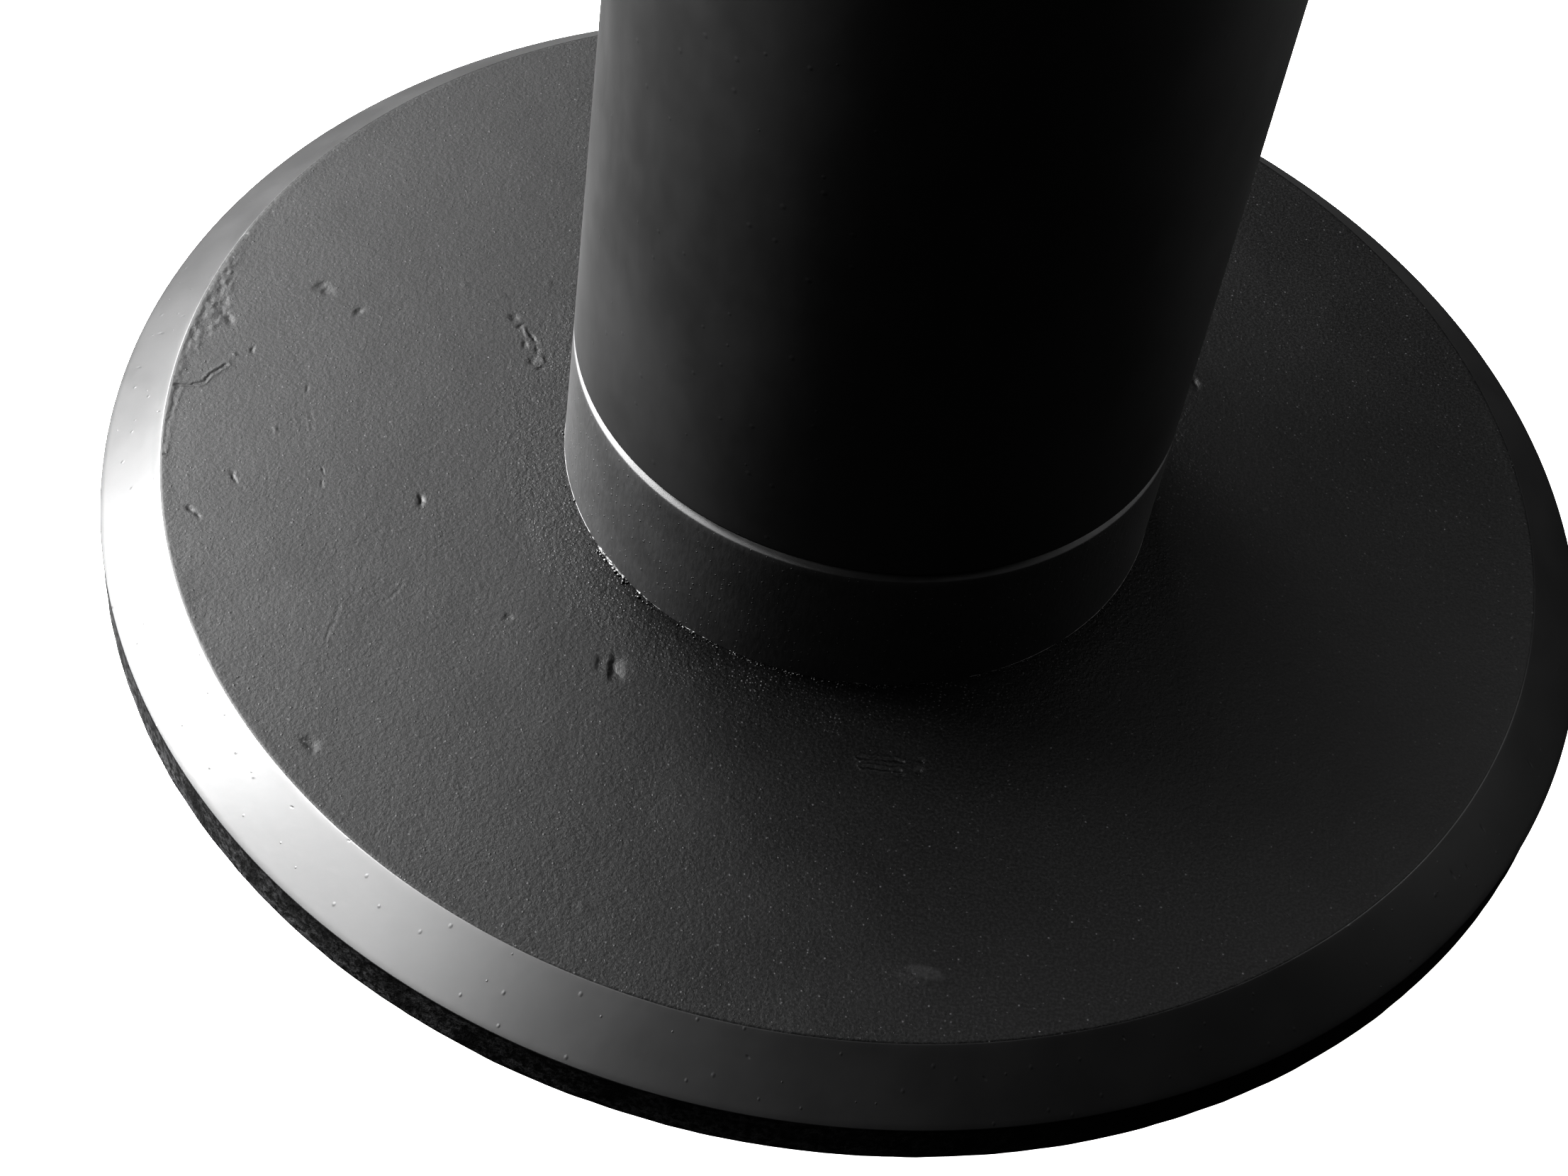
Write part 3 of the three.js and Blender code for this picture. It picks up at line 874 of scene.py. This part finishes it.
def tube():
    edge, lip = TUBE_EDGE_ROUND, 0.5 * MM
    straight_foot, straight_top = SEAM + edge + 2 * MM, TUBE_TOP - edge - 2 * MM
    outline = [(BORE_RADIUS, SEAM), (POST_RADIUS - edge, SEAM)]
    outline += arc(POST_RADIUS - edge, SEAM + edge, edge, -80.0, 0.0, 10)
    outline += stretch((POST_RADIUS, straight_foot), (POST_RADIUS, straight_top), 20 * MM)
    outline += arc(POST_RADIUS - lip, TUBE_TOP - lip, lip, 0.0, 80.0, 6)
    outline += [(POST_RADIUS - lip, TUBE_TOP), (BORE_RADIUS, TUBE_TOP)]
    piece = revolve("post_body", outline, POST_SEGMENTS)
    smooth(piece, 50.0)
    finish(piece, tube_paint())
    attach(piece, "bollard")
    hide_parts("post_tube")


# Head, plug, seal and pad -------------------------------------------------------------------------


def rounded(outline, rounds, steps):
    """An outline with some corners rounded: rounds maps a corner's index to a radius in metres."""
    points = []
    count = len(outline)
    for index, corner in enumerate(outline):
        if index not in rounds:
            points.append(corner)
            continue
        here = Vector(corner)
        back = (Vector(outline[index - 1]) - here).normalized()
        ahead = (Vector(outline[(index + 1) % count]) - here).normalized()
        half = 0.5 * back.angle(ahead)
        reach = rounds[index] / math.tan(half)
        centre = here + (back + ahead).normalized() * (rounds[index] / math.sin(half))
        first = here + back * reach - centre
        last = here + ahead * reach - centre
        for step in range(steps + 1):
            swung = first.lerp(last, step / steps).normalized() * rounds[index]
            points.append(tuple(centre + swung))
    return points


def head():
    """The flanged head: its seal groove, the pocket round its nut chamber, and the plug's seat."""
    top, flange, rim = TOTAL_HEIGHT, TUBE_TOP, HEAD_RADIUS
    boss, foot = BORE_RADIUS - 0.35 * MM, HEAD_BOTTOM_OF_BOSS
    rod_hole, chamber, seat = 8.6 * MM, 20 * MM, 25 * MM
    chamber_floor, seat_floor = foot + 8 * MM, top - 6 * MM
    pocket_inside, pocket_outside, pocket_top = 28 * MM, boss - 6 * MM, foot + 30 * MM
    groove, groove_low, groove_high = boss - 2.4 * MM, foot + 5.4 * MM, foot + 8.6 * MM
    outline = [
        (rod_hole, foot),
        (pocket_inside, foot),
        (pocket_inside, pocket_top),
        (pocket_outside, pocket_top),
        (pocket_outside, foot),
        (boss - 1 * MM, foot),
        (boss, foot + 1 * MM),
        (boss, groove_low),
        (groove, groove_low),
        (groove, groove_high),
        (boss, groove_high),
        (boss, flange),
        (rim, flange),
        (rim, top - 6.8 * MM),
        (rim - 9 * MM, top),
        (seat, top),
        (seat, seat_floor),
        (chamber, seat_floor),
        (chamber, chamber_floor),
        (rod_hole, chamber_floor),
    ]
    # The corners that are rounded, by their number in the outline, in millimetres
    rounds = {1: 0.6, 2: 2.0, 3: 2.0, 4: 0.5, 12: 3.0, 13: 0.7, 14: 1.4, 15: 0.5, 17: 0.3, 18: 0.8}
    outline = rounded(outline, {index: size * MM for index, size in rounds.items()}, 7)
    piece = revolve("head_body", outline, HEAD_SEGMENTS)
    smooth(piece, 40.0)
    finish(piece, head_paint())
    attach(piece, "bollard")
    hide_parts("post_head")


def plug():
    """The screw plug: a turned flange with a fine groove, a plain shank and a hexagon socket."""
    top, bottom = high("screw_plug").z, low("screw_plug").z
    rim, shank, neck = high("screw_plug").x, 19.6 * MM, 19.0 * MM
    underside = top - 4.4 * MM
    socket_floor = top - 8.0 * MM
    outline = [
        (shank - 1 * MM, bottom),
        (shank, bottom + 1 * MM),
        (shank, underside - 1.2 * MM),
        (neck, underside - 0.9 * MM),
        (neck, underside),
        (rim, underside),
        (rim, top - 0.8 * MM),
        (rim - 0.8 * MM, top),
        (17.4 * MM, top),
        (17.2 * MM, top - 0.3 * MM),
        (16.6 * MM, top - 0.3 * MM),
        (16.4 * MM, top),
        (9.1 * MM, top),
    ]
    # The corners that are rounded, by their number in the outline, in millimetres
    rounds = {0: 0.3, 1: 0.3, 5: 0.3, 6: 0.4, 7: 0.4}
    outline = rounded(outline, {index: size * MM for index, size in rounds.items()}, 3)
    # The socket's radius at each segment: a hexagon 14 mm across its flats, with cut corners
    hexagon = 7.0 * MM / np.cos(np.mod(circle(PLUG_SEGMENTS), math.pi / 3) - math.pi / 6)
    hexagon = np.minimum(hexagon, 7.9 * MM)
    socket = [
        (np.maximum(hexagon, 8.3 * MM), top - 0.35 * MM),
        (hexagon + 0.12 * MM, top - 0.8 * MM),
        (hexagon, top - 1.0 * MM),
        (hexagon, socket_floor + 0.4 * MM),
        (hexagon - 0.4 * MM, socket_floor),
        (3.0 * MM, socket_floor),
        (0.0, socket_floor),
    ]
    foot = [(0.0, bottom), (6 * MM, bottom), (12 * MM, bottom)]
    piece = revolve("plug_body", foot + outline + socket, PLUG_SEGMENTS)
    smooth(piece, 30.0)
    finish(piece, stainless)
    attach(piece, "plug")
    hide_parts("screw_plug")


def seal():
    bottom, top = low("plug_seal").z, high("plug_seal").z
    outline = [(20.3 * MM, bottom), (24.3 * MM, bottom), (24.3 * MM, top), (20.3 * MM, top)]
    outline = rounded(outline, dict.fromkeys(range(4), 0.3 * MM), 4)
    piece = revolve("plug_washer", outline, SEAL_SEGMENTS)
    smooth(piece, 60.0)
    finish(piece, rubber)
    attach(piece, "plug_rider")
    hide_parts("plug_seal")


def pad():
    """The rubber pad, with ring-shaped grip grooves in its underside."""
    outer, top = high("base_pad").x, high("base_pad").z
    down = [(0.0, 0.0)]
    for ring in range(1, 14):
        middle = ring * 10 * MM
        for out, up in ((-1.0, 0.0), (-0.6, 0.4), (0.6, 0.4), (1.0, 0.0)):
            down.append((middle + out * MM, up * MM))
    down += [(outer - 0.3 * MM, 0.0), (outer, 0.3 * MM)]
    down += [(outer, top - 0.2 * MM), (outer - 0.2 * MM, top), (0.0, top)]
    piece = revolve("foot_pad", down, PAD_SEGMENTS)
    smooth(piece, 30.0)
    finish(piece, rubber)
    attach(piece, "bollard")
    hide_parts("base_pad")


bare_steel = turned_steel("bare_steel", 0.42, 0.38, 0.25 * MM)
zinc_steel = turned_steel("zinc_steel", 0.66, 0.30, 0.4 * MM)
stainless = turned_steel("stainless", 0.10, 0.50, 0.5 * MM)
rubber = rubber_skin()

base_plate()
collar()
weld()
tube()
head()
plug()
seal()
pad()

# CAD nodes that keep their own shape --------------------------------------------------------------

BARE = ["spigot_tube", "spigot_weld", "tie_rod_boss", "boss_weld", "guide_disc"]
PLATED = [
    "tie_rod",
    "guide_nut_lower",
    "guide_nut_upper",
    "clamp_washer",
    "disc_spring",
    "clamp_nut",
    "lock_nut",
]
RUBBER = ["spigot_seal_lower", "spigot_seal_upper", "head_seal"]

for names, material in ((BARE, bare_steel), (PLATED, zinc_steel), (RUBBER, rubber)):
    for node in names:
        finish(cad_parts[node], material)

# Stage: camera, lights and floor ------------------------------------------------------------------

# The camera's place in metres, its turns in radians and its lens in millimetres
CAMERA_PLACE = Vector((0.0, -0.39984, 0.43209))
CAMERA_YAW = -0.0249
CAMERA_PITCH = 0.8505
CAMERA_ROLL = 0.1717
CAMERA_LENS = 67.846

camera = bpy.data.objects.new("camera", bpy.data.cameras.new("camera"))
bpy.context.scene.collection.objects.link(camera)
turn = Matrix.Rotation(-CAMERA_YAW, 4, "Z")
tilt = Matrix.Rotation(math.pi / 2 - CAMERA_PITCH, 4, "X")
roll = Matrix.Rotation(CAMERA_ROLL, 4, "Z")
camera.matrix_world = Matrix.Translation(CAMERA_PLACE) @ turn @ tilt @ roll
camera.data.lens = CAMERA_LENS
camera.data.sensor_width = 36.0
camera.data.clip_start = 0.01
camera.data.clip_end = 50.0
bpy.context.scene.camera = camera

AIM = Vector((0.0, 0.0, 0.05))
# Each panel has its name, its place and its width and height in metres, and its power in watts.
PANELS = [
    ("left_panel", (-0.759, 0.378, 0.785), 1.08, 0.76, 69.6),
    ("left_spot", (-0.987, 0.167, 0.696), 0.32, 0.34, 25.0),
    ("front_left_strip", (-0.979, -0.640, 0.927), 0.62, 0.23, 7.98),
    ("back_left_panel", (-0.233, 0.768, 0.482), 0.27, 0.52, 2.44),
    ("front_panel", (-0.572, -0.699, 0.814), 0.39, 0.31, 0.67),
    ("right_low", (0.181, 0.035, 0.236), 0.21, 0.31, 0.62),
    ("back_top", (0.165, 0.829, 0.811), 0.37, 0.29, 0.46),
    ("left_low", (-0.956, 0.039, 0.081), 0.22, 0.16, 0.16),
    ("back_right_fill", (0.55, 1.15, 0.35), 0.50, 0.50, 0.35),
]


def panel(name, place, width, height, power):
    """A rectangle of light that faces the post's foot."""
    light = bpy.data.lights.new(name, "AREA")
    light.shape = "RECTANGLE"
    light.size, light.size_y = width, height
    light.energy = power
    obj = bpy.data.objects.new(name, light)
    bpy.context.scene.collection.objects.link(obj)
    obj.location = place
    obj.rotation_mode = "QUATERNION"
    obj.rotation_quaternion = (AIM - Vector(place)).to_track_quat("-Z", "Y")


for row in PANELS:
    panel(*row)

world = bpy.data.worlds.new("white")
bpy.context.scene.world = world
world.use_nodes = True
world.node_tree.nodes["Background"].inputs["Color"].default_value = (1, 1, 1, 1)
world.node_tree.nodes["Background"].inputs["Strength"].default_value = 1.0
for kind in ("diffuse", "glossy", "transmission", "scatter"):
    setattr(world.cycles_visibility, kind, False)

bpy.ops.mesh.primitive_plane_add(size=12.0, location=(0, 0, -0.0002))
floor = bpy.context.active_object
floor.name = "floor"
white = bpy.data.materials.new("floor_white")
white.use_nodes = True
shader = white.node_tree.nodes["Principled BSDF"]
shader.inputs["Base Color"].default_value = (0.9, 0.9, 0.9, 1)
shader.inputs["Roughness"].default_value = 0.9
shader.inputs["Emission Color"].default_value = (1, 1, 1, 1)
shader.inputs["Emission Strength"].default_value = 1.0
finish(floor, white)
floor.visible_diffuse = False
floor.visible_glossy = False

bpy.context.scene.view_settings.view_transform = "Standard"
bpy.context.scene.view_settings.look = "Very High Contrast"
